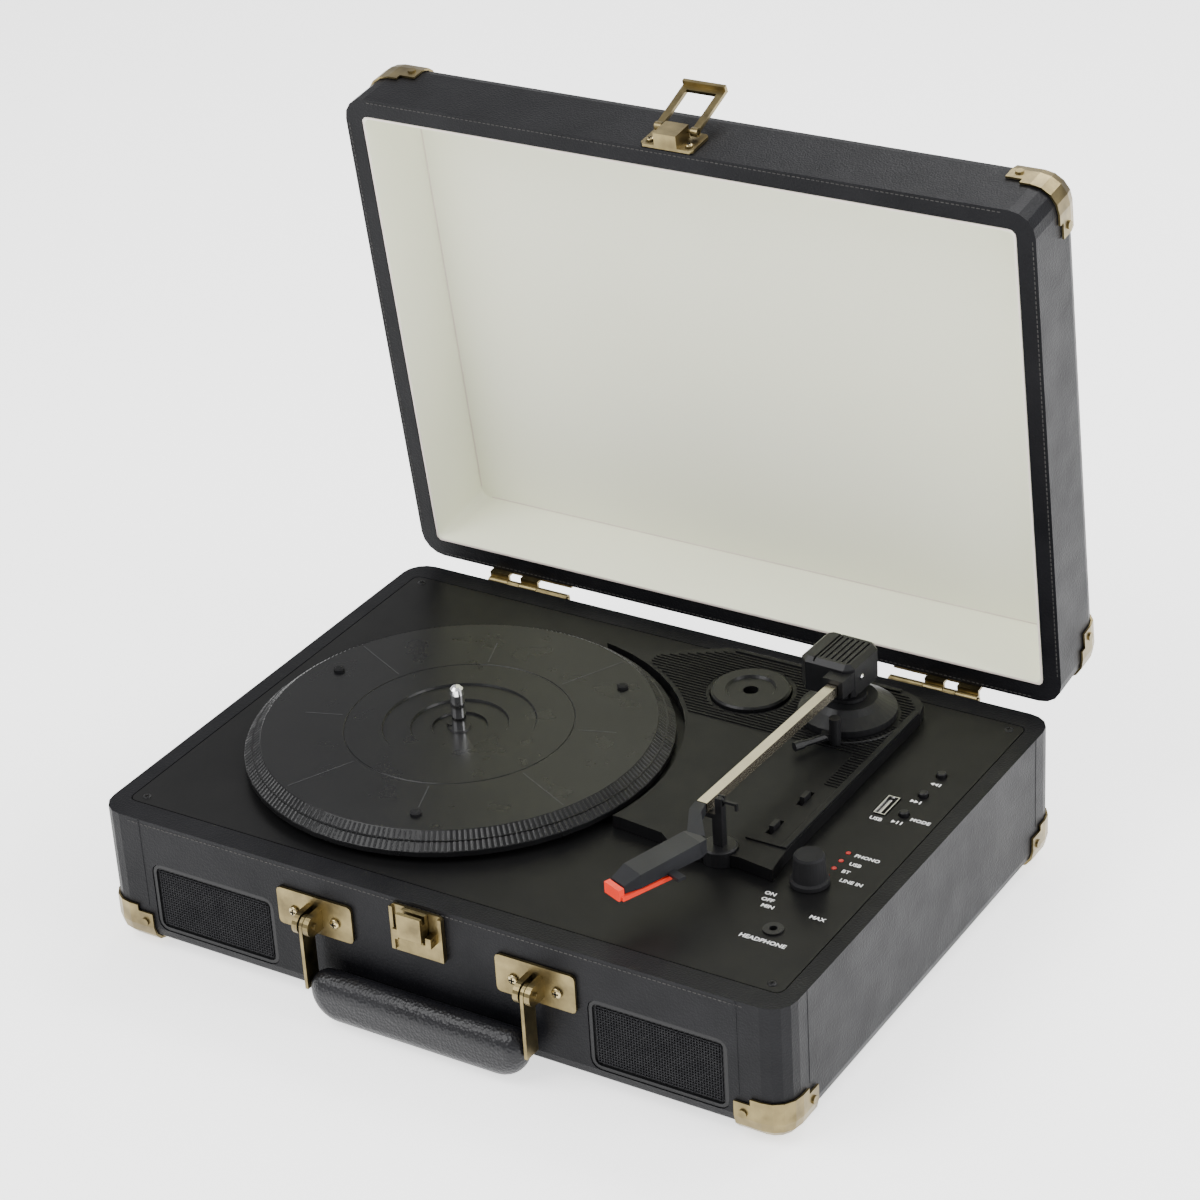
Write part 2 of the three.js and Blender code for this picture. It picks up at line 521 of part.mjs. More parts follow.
// Controls
function knob() {
  return turned([[0, DECK - 10], [3, DECK - 10], [3, DECK + 0.5], [8.8, DECK + 0.5], [8.8, DECK + 2.4],
    [7.5, DECK + 3.2], [6.9, DECK + 14], [6.2, DECK + 15], [0, DECK + 15]], KNOB[0], KNOB[1], 32);
}

function button(x, y) {
  return turned([[0, DECK - 7], [3.6, DECK - 7], [3.6, DECK - 4.5], [2.2, DECK - 4.5], [2.2, DECK + 1.6],
    [1.7, DECK + 2], [0, DECK + 2]], x, y, 16);
}

function cueLever() {
  const bar = rod(1.6, [98.6, 55.8, DECK + 10.4], [90.8, 42.4, DECK + 10.4], 12);
  const post = slab(circle(2.7, 102, 57.5, 16), DECK - 6, DECK + 20);
  return join(bar, turnedBox(99, 56.5, 6, 4, DECK + 8.8, DECK + 12, 30), post,
    rod(2.2, [92.2, 44.8, DECK + 10.4], [89.9, 40.8, DECK + 10.4], 12));
}

function slideSwitch(x, y) {
  return join(box(x - 1.2, x + 1.2, y - 3, y + 3, DECK - 8, DECK + 9.6), box(x - 2.6, x + 2.6, y - 7, y + 7, DECK - 9, DECK - 6));
}

function armClip() {
  const { y } = REST;
  const { x, z } = CLIP;
  const arm = join(rod(1.8, [x, y - 0.7, z], [x, y + 0.7, z], 14), box(x, 107, y - 0.7, y + 0.7, z - 0.6, z + 0.6),
    box(106, 107, y - 0.7, y + 0.7, z - 3, z + 0.6));
  return cut(arm, rod(1, [x, y - 2, z], [x, y + 2, z], 10));
}

function mainBoard() {
  return join(box(118, 160, -60, 80, 46, 47.6), box(124, 136, -20, 6, 47, 50), box(126, 134, 30, 50, 47, 50));
}

// Assembly
const lidPose = about(0, HINGE.y, HINGE.z, new THREE.Matrix4().makeRotationX(-HINGE.open * DEG));
const bailPose = lidPose.clone().multiply(
  about(0, BAIL.y, BAIL.z, new THREE.Matrix4().makeRotationX(13.6 * DEG)));
const SIDES = { left: -1, right: 1 };
const ENDS = { front: -1, back: 1 };

piece("base_case", "black", baseCase());
piece("deck_plate", "black", deckPlate());
piece("turntable_chassis", "plastic", chassis());
piece("spindle", "steel", spindle());
piece("drive_motor", "steel", motor());
piece("main_board", "plastic", mainBoard());
piece("usb_socket", "steel", usbSocket());
piece("headphone_socket", "plastic", phonesSocket());
piece("indicator_lights", "red", indicators());
piece("rear_jack_panel", "plastic", jackPanel());
piece("arm_rest", "plastic", armRest());
piece("arm_pivot_base", "plastic", armPivotBase());
piece("drive_belt", "rubber", belt());
piece("latch_catch_plate", "brass", catchPlate());
piece("latch_lever", "brass", latchLever());
piece("lid_shell", "black", lidShell(), lidPose);
piece("lid_lining", "cream", lidLining(), lidPose);
piece("lid_latch_plate", "brass", lidPlate(), lidPose);
piece("latch_bail", "brass", latchBail(), bailPose);
for (const [side, sx] of Object.entries(SIDES)) {
  piece("speaker_" + side, "plastic", speaker(sx * GRILLE.x));
  piece("speaker_grille_" + side, "plastic", grille(sx * GRILLE.x));
  piece("handle_plate_" + side, "brass", handlePlate(sx * HANDLE.x));
  piece("handle_strap_" + side, "steel", strap(sx * HANDLE.x));
  piece("base_hinge_leaf_" + side, "brass", hingeLeaf(sx * HINGE.x, false));
  piece("lid_hinge_leaf_" + side, "brass", hingeLeaf(sx * HINGE.x, true), lidPose);
  for (const [end, sy] of Object.entries(ENDS)) {
    piece(`foot_${end}_${side}`, "rubber", foot(sx * 140, sy * 95));
    piece(`base_cap_${end}_${side}`, "brass", cap(sx, sy, 0, DECK));
    piece(`lid_cap_${end}_${side}`, "brass", cap(sx, sy, LID.z0 + LID.depth, LID.z0), lidPose);
  }
}
piece("handle_grip", "black", grip());
piece("platter", "plastic", platter());
piece("motor_pulley", "plastic", pulley());
piece("arm_turret", "plastic", turret(), armPose);
piece("arm_housing", "plastic", armHousing(), armPose);
piece("arm_tube", "alloy", armTube(), armPose);
piece("headshell", "plastic", headshell(), armPose);
piece("stylus", "red", stylus(), armPose);
piece("volume_knob", "rubber", knob());
BUTTONS.forEach(([x, y], i) => piece("button_" + (i + 1), "plastic", button(x, y)));
piece("cue_lever", "plastic", cueLever());
piece("speed_switch", "plastic", slideSwitch(...SLOTS[0]));
piece("stop_switch", "plastic", slideSwitch(...SLOTS[1]));
piece("adaptor_45", "plastic", adaptor());
piece("arm_clip", "plastic", armClip());

export default assembly;
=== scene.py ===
"""Suitcase record player: looks and fine pieces around the fixed CAD frame, in metres."""
import json
import math

import bmesh
import bpy
from mathutils import Matrix, Vector


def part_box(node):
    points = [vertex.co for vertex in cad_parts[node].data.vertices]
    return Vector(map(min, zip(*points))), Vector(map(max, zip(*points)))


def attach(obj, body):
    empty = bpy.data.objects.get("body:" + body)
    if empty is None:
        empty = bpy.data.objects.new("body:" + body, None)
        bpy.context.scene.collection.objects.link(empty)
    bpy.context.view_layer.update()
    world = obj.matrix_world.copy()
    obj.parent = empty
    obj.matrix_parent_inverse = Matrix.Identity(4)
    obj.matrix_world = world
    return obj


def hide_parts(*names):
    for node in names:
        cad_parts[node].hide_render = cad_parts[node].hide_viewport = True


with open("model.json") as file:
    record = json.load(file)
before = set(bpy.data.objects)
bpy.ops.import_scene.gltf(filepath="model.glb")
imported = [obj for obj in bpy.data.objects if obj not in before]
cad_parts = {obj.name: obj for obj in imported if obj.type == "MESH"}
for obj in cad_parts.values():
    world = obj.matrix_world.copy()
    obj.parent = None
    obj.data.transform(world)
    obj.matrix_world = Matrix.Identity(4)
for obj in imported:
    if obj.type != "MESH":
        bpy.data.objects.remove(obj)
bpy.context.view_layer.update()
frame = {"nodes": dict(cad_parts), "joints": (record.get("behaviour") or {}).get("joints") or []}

MM = 0.001


def corners(node):
    """The lowest and highest corner of a CAD node, in millimetres."""
    low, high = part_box(node)
    return [v / MM for v in low], [v / MM for v in high]


(_, CASE_Y0, _), (CASE_X1, CASE_Y1, DECK) = corners("base_case")
FLOOR_Z = corners("foot_front_left")[0][2]
JOINTS = {j["name"]: j for j in frame["joints"]}
LID_AXIS = [v / MM for v in JOINTS["lid_hinge"]["pos_m"]]
LID_OPEN = math.radians(JOINTS["lid_hinge"]["range_deg"][1])
LID_RIM = DECK + 1  # rim of the shut lid
(PL_X0, PL_Y0, _), (PL_X1, PL_Y1, PLATTER_TOP) = corners("platter")
PLATTER = ((PL_X0 + PL_X1) / 2, (PL_Y0 + PL_Y1) / 2)
CHASSIS_TOP = DECK + 6.5  # flat of the chassis, which has higher edges
HINGE_X = 113
LATCH_X = -2
DECK_SCREW = (162.5, 112.5)
SEAM_X = 154.6
LINING_DEPTH = 35
MIX_FACTOR, MIX_A, MIX_B, MIX_RESULT = 0, 6, 7, 2  # sockets of a colour Mix node
PIVOT = [v / MM for v in JOINTS["tonearm_swing"]["pos_m"]]
lid_pose = (Matrix.Translation(Vector(LID_AXIS)) @ Matrix.Rotation(-LID_OPEN, 4, "X")
            @ Matrix.Translation(-Vector(LID_AXIS)))


# Materials
def surface(name, color, rough, metal=0.0, grain=None, mottle=None, rough_var=0.0, coat=0.0, glow=0.0,
            specular=0.12):
    """A principled material.

    grain is (kind, scale per metre, height in mm), and mottle is (scale, second colour).
    """
    mat = bpy.data.materials.new(name)
    mat.use_nodes = True
    nodes, links = mat.node_tree.nodes, mat.node_tree.links
    bsdf = nodes["Principled BSDF"]
    bsdf.inputs["Base Color"].default_value = (*color, 1)
    bsdf.inputs["Roughness"].default_value = rough
    bsdf.inputs["Metallic"].default_value = metal
    bsdf.inputs["Specular IOR Level"].default_value = specular
    bsdf.inputs["Coat Weight"].default_value = coat
    bsdf.inputs["Coat Roughness"].default_value = 0.25
    if glow:
        bsdf.inputs["Emission Color"].default_value = (*color, 1)
        bsdf.inputs["Emission Strength"].default_value = glow
    where = nodes.new("ShaderNodeTexCoord").outputs["Object"]

    def noise(scale, detail=4.0):
        tex = nodes.new("ShaderNodeTexNoise")
        tex.inputs["Scale"].default_value = scale
        tex.inputs["Detail"].default_value = detail
        links.new(where, tex.inputs["Vector"])
        return tex.outputs["Fac"]

    def spread(source, low, high):
        node = nodes.new("ShaderNodeMapRange")
        node.inputs["From Min"].default_value = 0.3
        node.inputs["From Max"].default_value = 0.7
        node.inputs["To Min"].default_value = low
        node.inputs["To Max"].default_value = high
        links.new(source, node.inputs["Value"])
        return node.outputs["Result"]

    if mottle:
        scale, second = mottle
        mix = nodes.new("ShaderNodeMix")
        mix.data_type = "RGBA"
        mix.inputs[MIX_A].default_value = (*color, 1)
        mix.inputs[MIX_B].default_value = (*second, 1)
        links.new(spread(noise(scale), 0, 1), mix.inputs[MIX_FACTOR])
        links.new(mix.outputs[MIX_RESULT], bsdf.inputs["Base Color"])
    if rough_var:
        links.new(spread(noise(60), rough - rough_var, rough + rough_var), bsdf.inputs["Roughness"])
    if grain:
        kind, scale, height = grain
        if kind == "cells":
            tex = nodes.new("ShaderNodeTexVoronoi")
            tex.inputs["Scale"].default_value = scale
            links.new(where, tex.inputs["Vector"])
            source = tex.outputs["Distance"]
        else:
            source = noise(scale, 3.0)
        bump = nodes.new("ShaderNodeBump")
        bump.inputs["Distance"].default_value = height * MM
        bump.inputs["Strength"].default_value = 1.0
        links.new(source, bump.inputs["Height"])
        links.new(bump.outputs["Normal"], bsdf.inputs["Normal"])
    return mat


LOOK = {
    "leatherette": surface("leatherette_black", (0.0030, 0.0031, 0.0042), 0.44,
                           grain=("cells", 1100, 0.10), mottle=(35, (0.007, 0.007, 0.0085)), rough_var=0.04),
    "lining": surface("lining_cream", (0.86, 0.87, 0.71), 0.62, grain=("noise", 500, 0.03),
                      mottle=(9, (0.83, 0.84, 0.68))),
    "lining_edge": surface("lining_edge", (0.78, 0.70, 0.65), 0.6, mottle=(80, (0.70, 0.62, 0.57))),
    "deck": surface("deck_vinyl", (0.0045, 0.0045, 0.0048), 0.36, grain=("noise", 1500, 0.035),
                    mottle=(25, (0.0065, 0.0064, 0.0066)), rough_var=0.04),
    "brass": surface("antique_brass", (0.25, 0.20, 0.095), 0.36, 1.0, grain=("noise", 500, 0.04),
                     mottle=(110, (0.12, 0.095, 0.048)), rough_var=0.08),
    "brass_bright": surface("brass_worn", (0.46, 0.39, 0.22), 0.28, 1.0,
                            mottle=(160, (0.42, 0.33, 0.16))),
    "plastic": surface("textured_plastic", (0.006, 0.0061, 0.0068), 0.38, grain=("noise", 2600, 0.05),
                       mottle=(50, (0.009, 0.009, 0.010)), specular=0.22),
    "chassis": surface("chassis_plastic", (0.0045, 0.0045, 0.005), 0.38, grain=("noise", 1800, 0.03),
                       mottle=(40, (0.0065, 0.0065, 0.007)), rough_var=0.05),
    "platter": surface("platter_plastic", (0.005, 0.0051, 0.0056), 0.30, grain=("noise", 1600, 0.03),
                       mottle=(30, (0.007, 0.007, 0.0075)), rough_var=0.04, specular=0.2),
    "rim": surface("platter_rim_sparkle", (0.007, 0.007, 0.0078), 0.28, grain=("noise", 1100, 0.28),
                   mottle=(300, (0.014, 0.014, 0.015)), specular=0.3),
    "headshell": surface("headshell_grey", (0.014, 0.0145, 0.0165), 0.36, grain=("noise", 1800, 0.03),
                         mottle=(60, (0.019, 0.0195, 0.022)), specular=0.22),
    "cone": surface("speaker_cone", (0.02, 0.02, 0.02), 0.8, grain=("noise", 900, 0.1),
                    mottle=(80, (0.03, 0.03, 0.03))),
    "mesh": surface("woven_mesh", (0.012, 0.012, 0.014), 0.40, mottle=(150, (0.02, 0.02, 0.022))),
    "chrome": surface("spindle_chrome", (0.78, 0.78, 0.79), 0.08, 1.0, mottle=(60, (0.72, 0.72, 0.73))),
    "steel": surface("plated_steel", (0.62, 0.61, 0.60), 0.26, 1.0, mottle=(200, (0.5, 0.5, 0.5))),
    "rubber": surface("rubber", (0.008, 0.008, 0.009), 0.62, grain=("noise", 1500, 0.05),
                      mottle=(60, (0.012, 0.012, 0.013))),
    "tube": surface("champagne_tube", (0.66, 0.60, 0.48), 0.26, 1.0, grain=("noise", 900, 0.01),
                    mottle=(90, (0.58, 0.52, 0.41))),
    "red": surface("red_plastic", (0.80, 0.045, 0.02), 0.3, coat=0.4,
                   mottle=(90, (0.72, 0.035, 0.018))),
    "lamp": surface("lamp_red", (0.35, 0.01, 0.01), 0.25, coat=0.5, mottle=(90, (0.30, 0.008, 0.008))),
    "leather": surface("grip_leather", (0.0055, 0.0055, 0.007), 0.36, grain=("cells", 750, 0.22),
                       mottle=(60, (0.008, 0.008, 0.010)), rough_var=0.04, specular=0.3),
    "ink": surface("white_print", (0.80, 0.80, 0.80), 0.6, mottle=(500, (0.72, 0.72, 0.72))),
    "thread": surface("stitching", (0.075, 0.072, 0.068), 0.7, mottle=(900, (0.03, 0.03, 0.03))),
    "groove": surface("printed_groove", (0.05, 0.05, 0.053), 0.35, mottle=(200, (0.035, 0.035, 0.037))),
    # painted shade: near-black for the screws' cross slots, standing in for the shade inside the recess
    "slot_shade": surface("painted_slot_shade", (0.004, 0.004, 0.004), 0.7, mottle=(200, (0.007, 0.007, 0.007))),
}

NODE_LOOKS = {
    "leatherette": ["base_case", "lid_shell"], "lining": ["lid_lining"], "deck": ["deck_plate"],
    "chassis": ["turntable_chassis"], "chrome": ["spindle"], "steel": ["drive_motor", "usb_socket"],
    "platter": ["platter", "adaptor_45"], "headshell": ["headshell"], "tube": ["arm_tube"],
    "red": ["stylus"],
    "lamp": ["indicator_lights"], "rubber": ["drive_belt", "volume_knob"],
    "cone": ["speaker_left", "speaker_right"],
}


def look_of(node):
    for look, names in NODE_LOOKS.items():
        if node in names:
            return look
    brass_words = ("cap_", "plate_left", "plate_right", "strap", "hinge", "latch", "catch")
    if node.startswith("foot_"):
        return "rubber"
    return "brass" if any(word in node for word in brass_words) else "plastic"


def paint_frame():
    for node, obj in frame["nodes"].items():
        mat = LOOK[look_of(node)]
        if not obj.material_slots:
            obj.data.materials.append(mat)
        for slot in obj.material_slots:
            slot.material = mat


# Piece building, in millimetres
def add_piece(name, bm, look, body, smooth=False, bevel=0.0):
    bmesh.ops.recalc_face_normals(bm, faces=bm.faces)
    bmesh.ops.scale(bm, vec=(MM, MM, MM), verts=bm.verts)
    mesh = bpy.data.meshes.new(name)
    bm.to_mesh(mesh)
    bm.free()
    mesh.materials.append(LOOK[look])
    for face in mesh.polygons:
        face.use_smooth = smooth
    obj = bpy.data.objects.new(name, mesh)
    bpy.context.scene.collection.objects.link(obj)
    if bevel:
        mod = obj.modifiers.new("bevel", "BEVEL")
        mod.width = bevel * MM
        mod.segments = 2
    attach(obj, body)
    return obj


def add_box(bm, x0, x1, y0, y1, z0, z1, pose=None):
    made = bmesh.ops.create_cube(bm, size=1)["verts"]
    bmesh.ops.scale(bm, vec=(x1 - x0, y1 - y0, z1 - z0), verts=made)
    bmesh.ops.translate(bm, vec=((x0 + x1) / 2, (y0 + y1) / 2, (z0 + z1) / 2), verts=made)
    if pose is not None:
        bmesh.ops.transform(bm, matrix=pose, verts=made)
    return made


def add_disc(bm, r, x, y, z0, z1, sides=24, r_top=None):
    r_top = r if r_top is None else r_top
    made = bmesh.ops.create_cone(bm, cap_ends=True, segments=sides, radius1=r, radius2=r_top,
                                 depth=z1 - z0)["verts"]
    bmesh.ops.translate(bm, vec=(x, y, (z0 + z1) / 2), verts=made)
    return made


def add_dome(bm, r, height, at, axis):
    """A shallow screw or rivet head standing on a face whose outward normal is axis."""
    made = bmesh.ops.create_uvsphere(bm, u_segments=16, v_segments=8, radius=1)["verts"]
    turn = Vector((0, 0, 1)).rotation_difference(Vector(axis)).to_matrix().to_4x4()
    pose = Matrix.Translation(Vector(at)) @ turn @ Matrix.Diagonal((r, r, height, 1))
    bmesh.ops.transform(bm, matrix=pose, verts=made)


# Case
def stitching():
    pitch, length, thread = 2.4, 1.5, 0.2
    proud, sunk, case_margin, lid_margin = 0.12, 0.1, 17, 12
    half_w, front = CASE_X1, CASE_Y0
    bm = bmesh.new()
    count = int((2 * half_w - 2 * case_margin) / pitch)
    for i in range(count):
        x = -half_w + case_margin + i * pitch
        add_box(bm, x, x + length, front - proud, front + sunk, DECK - 2.4, DECK - 2.0)
    add_piece("case_stitching", bm, "thread", "base")
    bm = bmesh.new()
    inner_x, inner_y = half_w - 1.6, -front - 1.6
    for i in range(int((2 * inner_x - 2 * lid_margin) / pitch)):
        x = -inner_x + lid_margin + i * pitch
        for y in (-inner_y, inner_y):
            add_box(bm, x, x + length, y - thread, y + thread, LID_RIM - proud, LID_RIM + sunk,
                    lid_pose)
    for i in range(int((2 * inner_y - 2 * lid_margin) / pitch)):
        y = -inner_y + lid_margin + i * pitch
        for x in (-inner_x, inner_x):
            add_box(bm, x - thread, x + thread, y, y + length, LID_RIM - proud, LID_RIM + sunk,
                    lid_pose)
    add_piece("lid_stitching", bm, "thread", "lid")


def case_seams():
    """Overlapped ends of the covering: raised strips on the front and sides, near the corners."""
    half, proud, sunk, inset = 0.35, 0.15, 0.1, 20
    low, high = 19, DECK - 0.5
    bm = bmesh.new()
    for sx in (-1, 1):
        seam = sx * SEAM_X
        add_box(bm, seam - half, seam + half, CASE_Y0 - proud, CASE_Y0 + sunk, low, high)
        x = sx * CASE_X1
        for y in (CASE_Y0 + inset, CASE_Y1 - inset):
            add_box(bm, x - proud, x + proud, y - half, y + half, low, high)
    add_piece("case_cover_seams", bm, "leatherette", "base")


def lining_edge():
    """The pale cut edge of the lining just inside the lid's rim."""
    (x0, _, _), (x1, _, _) = corners("lid_lining")
    half_w, half_d, wide = (x1 - x0) / 2 - 0.1, 120.6, 0.8
    bm = bmesh.new()
    z0, z1 = LID_RIM + 0.1, LID_RIM + 0.6
    for side in (-1, 1):
        x = side * (half_w - wide / 2)
        y = side * (half_d - wide / 2)
        add_box(bm, x - wide / 2, x + wide / 2, -half_d, half_d, z0, z1, lid_pose)
        add_box(bm, -half_w, half_w, y - wide / 2, y + wide / 2, z0, z1, lid_pose)
    add_piece("lining_edge_strip", bm, "lining_edge", "lid")


def lining_seams():
    """Fold lines round the floor of the lining."""
    floor_z, half_w, half_d = LID_RIM + LINING_DEPTH, 162, 114.6
    inset, half, margin = 0.6, 0.25, 6
    z0, z1 = floor_z - 0.18, floor_z + 0.2
    bm = bmesh.new()
    for side in (-1, 1):
        x, y = side * (half_w - inset), side * (half_d - inset)
        add_box(bm, x - half, x + half, -half_d + margin, half_d - margin, z0, z1, lid_pose)
        add_box(bm, -half_w + margin, half_w - margin, y - half, y + half, z0, z1, lid_pose)
    add_piece("lining_floor_seam", bm, "lining_edge", "lid")


def grille_weave(side):
    """Woven mesh: crossing wires that pass over and under each other."""
    (x0, y0, z0), (x1, _, z1) = corners("speaker_grille_" + side)
    edge, pitch, rise, wire = 3.2, 1.35, 0.28, 0.36
    x0, x1, z0, z1 = x0 + edge, x1 - edge, z0 + edge, z1 - edge
    face = y0 + 0.85
    bm = bmesh.new()

    def strand(points, across):
        rows = []
        for p in points:
            centre, depth = Vector(p), Vector((0, wire, 0))
            rows.append([bm.verts.new(centre + across * wire), bm.verts.new(centre - depth),
                         bm.verts.new(centre - across * wire), bm.verts.new(centre + depth)])
        for a, b in zip(rows, rows[1:]):
            for i in range(4):
                bm.faces.new((a[i], a[(i + 1) % 4], b[(i + 1) % 4], b[i]))
        bm.faces.new(rows[0])
        bm.faces.new(rows[-1][::-1])

    nx, nz = int((x1 - x0) / pitch), int((z1 - z0) / pitch)
    for i in range(nx + 1):
        x = x0 + i * pitch
        strand([(x, face + rise * (-1) ** (i + k), z0 + k * pitch) for k in range(nz + 1)],
               Vector((1, 0, 0)))
    for k in range(nz + 1):
        z = z0 + k * pitch
        strand([(x0 + i * pitch, face - rise * (-1) ** (i + k), z) for i in range(nx + 1)],
               Vector((0, 0, 1)))
    add_piece("grille_weave_" + side, bm, "mesh", "base", smooth=True)


# Handle
def grip():
    (x0, y0, z0), (x1, y1, z1) = corners("handle_grip")
    half_w, mid_y, half_t = (x1 - x0) / 2, (y0 + y1) / 2, (y1 - y0) / 2
    corner_low, corner_top, steps, levels, roll = 15, 8.6, 10, 16, 8.4
    bm = bmesh.new()

    def outline(inset):
        arcs = [(half_w, z1, corner_top, 0, 1, 1), (-half_w, z1, corner_top, 90, -1, 1),
                (-half_w, z0, corner_low, 180, -1, -1), (half_w, z0, corner_low, 270, 1, -1)]
        out = []
        for x, z, r, start, sx, sz in arcs:
            cx, cz = x - sx * r, z - sz * r
            for i in range(steps + 1):
                a = math.radians(start + 90 * i / steps)
                out.append((cx + (r - inset) * math.cos(a), cz + (r - inset) * math.sin(a)))
        return out

    rings = []
    for k in range(levels + 1):
        a = math.pi * (k / levels - 0.5)
        inset = roll * (1 - math.cos(a)) * 0.98
        y = mid_y + half_t * math.sin(a)
        rings.append([bm.verts.new((x, y, z)) for x, z in outline(inset)])
    n = len(rings[0])
    for a, b in zip(rings, rings[1:]):
        for i in range(n):
            bm.faces.new((a[i], a[(i + 1) % n], b[(i + 1) % n], b[i]))
    bm.faces.new(rings[0])
    bm.faces.new(rings[-1][::-1])
    obj = add_piece("handle_grip_leather", bm, "leather", "handle", smooth=True)
    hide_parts("handle_grip")
    bm = bmesh.new()
    count, margin, length, thread = 40, 20, 1.2, 0.25
    bottom = z0 - 0.02
    for i in range(count):
        x = -half_w + margin + i * (2 * half_w - 2 * margin) / count
        add_box(bm, x, x + length, mid_y - thread, mid_y + thread, bottom, bottom + 2 * thread)
    add_piece("grip_stitching", bm, "thread", "handle")


def cross_screw(bm_head, bm_cross, at, axis, r=2.5, height=0.9):
    add_dome(bm_head, r, height, at, axis)
    turn = Vector((0, 0, 1)).rotation_difference(Vector(axis)).to_matrix().to_4x4()
    pose = Matrix.Translation(Vector(at)) @ turn
    # The cross is a raised box in the near-black slot material: painted shade standing in for a recessed
    # slot.
    reach, slit = r * 1.1, r * 0.3
    for w, d in ((reach, slit), (slit, reach)):
        add_box(bm_cross, -w / 2, w / 2, -d / 2, d / 2, height * 0.75, height * 1.06, pose)


def screws():
    heads, crosses = bmesh.new(), bmesh.new()
    for side in ("left", "right"):
        (x0, _, z0), (x1, _, z1) = corners("handle_plate_" + side)
        for dx in (-11, 11):
            at = ((x0 + x1) / 2 + dx, CASE_Y0 - 2.6, (z0 + z1) / 2 - 1)
            cross_screw(heads, crosses, at, (0, -1, 0))
    add_piece("handle_plate_screws", heads, "brass_bright", "base", smooth=True)
    add_piece("handle_plate_screw_slots", crosses, "slot_shade", "base")
    heads, crosses = bmesh.new(), bmesh.new()
    for sx in (-1, 1):
        for sy in (-1, 1):
            at = (sx * DECK_SCREW[0], sy * DECK_SCREW[1], DECK)
            cross_screw(heads, crosses, at, (0, 0, 1), 2.1, 0.6)
    add_piece("deck_screws", heads, "plastic", "base", smooth=True)
    add_piece("deck_screw_slots", crosses, "slot_shade", "base")
    heads, crosses = bmesh.new(), bmesh.new()
    for sx in (-1, 1):
        for dx in (-15, 0, 15):
            cross_screw(heads, crosses, (sx * HINGE_X + dx, CASE_Y1 + 1.55, 50), (0, 1, 0), 2, 0.6)
    add_piece("base_hinge_screws", heads, "brass_bright", "base", smooth=True)
    add_piece("base_hinge_screw_slots", crosses, "slot_shade", "base")
    heads, crosses = bmesh.new(), bmesh.new()
    for sx in (-1, 1):
        for dx in (-15, 0, 15):
            at = lid_pose @ Vector((sx * HINGE_X + dx, CASE_Y1 + 1.55, LID_RIM + 10))
            axis = lid_pose.to_3x3() @ Vector((0, 1, 0))
            cross_screw(heads, crosses, at, axis, 2, 0.6)
    for dx in (-10, 10):
        at = lid_pose @ Vector((LATCH_X + dx, CASE_Y0 - 2.55, LID_RIM + 4.5))
        cross_screw(heads, crosses, at, lid_pose.to_3x3() @ Vector((0, -1, 0)), 1.8, 0.6)
    add_piece("lid_screws", heads, "brass_bright", "lid", smooth=True)
    add_piece("lid_screw_slots", crosses, "slot_shade", "lid")


# Platter
def platter_details():
    cx, cy = PLATTER
    line_turn, post_turn, post_r = 19.1, 49.3, 79.5
    bm = bmesh.new()
    for k in range(8):
        a = math.radians(line_turn + 45 * k)
        r0, r1 = 56, 74 if k % 2 == 0 else 90
        pose = Matrix.Translation((cx, cy, 0)) @ Matrix.Rotation(a, 4, "Z")
        add_box(bm, r0, r1, -0.25, 0.25, PLATTER_TOP - 0.2, PLATTER_TOP + 0.08, pose)
    add_piece("platter_radial_lines", bm, "groove", "platter")
    bm = bmesh.new()
    for k in range(3):
        a = math.radians(post_turn + 120 * k)
        x, y = cx + post_r * math.cos(a), cy + post_r * math.sin(a)
        add_disc(bm, 2.6, x, y, PLATTER_TOP - 0.2, PLATTER_TOP + 1.2, 20)
        add_disc(bm, 2.2, x, y, PLATTER_TOP + 1.15, PLATTER_TOP + 1.6, 20, 1.6)
    add_piece("platter_rubber_posts", bm, "rubber", "platter")
    bm = bmesh.new()
    ribs, inner, outer = 240, 92.4, 99.7
    top, low = PLATTER_TOP - 0.35, PLATTER_TOP - 6.3
    for k in range(ribs):
        a0 = 2 * math.pi * k / ribs
        a1 = a0 + math.pi / ribs
        ring = []
        for r, z in ((inner, top), (outer, low)):
            for a in (a0, a1):
                ring.append(bm.verts.new((cx + r * math.cos(a), cy + r * math.sin(a), z + 0.05)))
        mid = (a0 + a1) / 2
        ridge = [bm.verts.new((cx + r * math.cos(mid), cy + r * math.sin(mid), z + 0.4))
                 for r, z in ((inner, top), (outer, low))]
        a, b, c, d = ring
        bm.faces.new((a, ridge[0], ridge[1], c))
        bm.faces.new((ridge[0], b, d, ridge[1]))
        bm.faces.new((a, b, ridge[0]))
        bm.faces.new((c, ridge[1], d))
        bm.faces.new((a, c, d, b))
    add_piece("platter_rim_texture", bm, "rim", "platter")
    bm = bmesh.new()
    add_disc(bm, 5.4, cx, cy, PLATTER_TOP - 2.9, PLATTER_TOP - 2.2, 28, 4.9)
    add_box(bm, cx - 6.6, cx + 1, cy - 1.1, cy + 1.1, PLATTER_TOP - 2.4, PLATTER_TOP - 1.8)
    add_piece("spindle_clip", bm, "plastic", "platter")


